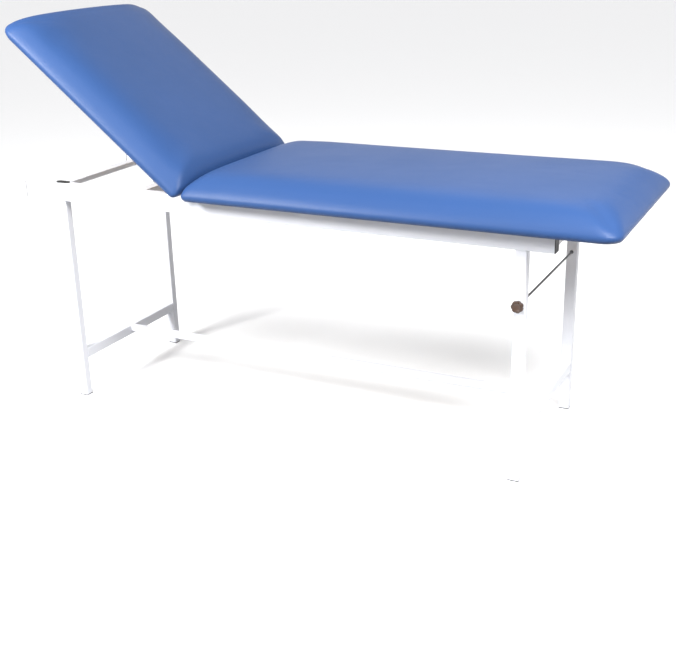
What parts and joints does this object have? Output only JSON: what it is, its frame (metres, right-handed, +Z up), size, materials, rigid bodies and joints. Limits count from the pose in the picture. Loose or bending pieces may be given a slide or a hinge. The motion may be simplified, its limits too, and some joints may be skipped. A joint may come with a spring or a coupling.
{
  "type": "medical exam table",
  "caption": "Padded examination couch on a white tubular steel frame, with a hinged raising backrest, an H-shaped base and a paper roll rod at the foot end.",
  "frame": {"origin": "on the floor, under the middle of the object's bounding box with the backrest raised", "axes": "+X towards the foot end, +Y towards the side away from the rod's knob, +Z up"},
  "size_m": [1.727, 0.622, 1.1188],
  "materials": {
    "white_enamel": "satin",
    "black_enamel": "satin",
    "black_plastic": "matte",
    "black_rubber": "matte",
    "plywood": "matte",
    "foam": "matte",
    "blue_vinyl": "satin",
    "zinc_steel": "satin",
    "rod_steel": "satin",
    "brown_plastic": "satin"
  },
  "bodies": {
    "frame": {"rail_near": "white_enamel", "rail_far": "white_enamel", "leg_head_near": "white_enamel", "leg_head_far": "white_enamel", "leg_foot_near": "white_enamel", "leg_foot_far": "white_enamel", "base_bar_head": "white_enamel", "base_bar_foot": "white_enamel", "base_stretcher": "white_enamel", "crossbar_head": "white_enamel", "crossbar_middle": "white_enamel", "crossbar_foot": "white_enamel", "seat_tabs": "white_enamel", "clamp_cheeks": "white_enamel", "hinge_lugs": "black_enamel", "rail_end_caps": "black_plastic", "leg_feet": "black_plastic", "rod_bushes": "black_plastic", "backrest_buffers": "black_rubber", "seat_board": "plywood", "seat_foam": "foam", "seat_cover": "blue_vinyl", "seat_screws": "zinc_steel", "hinge_pins": "zinc_steel", "clamp_bolt": "zinc_steel", "clamp_washer": "zinc_steel"},
    "backrest": {"backrest_board": "plywood", "backrest_foam": "foam", "backrest_cover": "blue_vinyl", "hinge_leaves": "black_enamel", "arc_bar": "black_enamel", "backrest_screws": "zinc_steel"},
    "clamp_knob": {"clamp_knob": "black_plastic"},
    "paper_rod": {"paper_rod": "rod_steel", "rod_knob": "brown_plastic", "rod_nut": "brown_plastic"}
  },
  "joints": [
    {"name": "backrest_hinge", "type": "hinge", "parent": "frame", "child": "backrest", "pos_m": [-0.3205, 0, 0.65], "axis": [0, 1, 0], "range_deg": [-39, 6]},
    {"name": "clamp_turn", "type": "hinge", "parent": "frame", "child": "clamp_knob", "pos_m": [-0.5815, 0.02, 0.62716], "axis": [0, -1, 0], "range_deg": [0, 270]},
    {"name": "rod_turn", "type": "hinge", "parent": "frame", "child": "paper_rod", "pos_m": [0.6235, 0, 0.474], "axis": [0, -1, 0], "continuous": true}
  ]
}
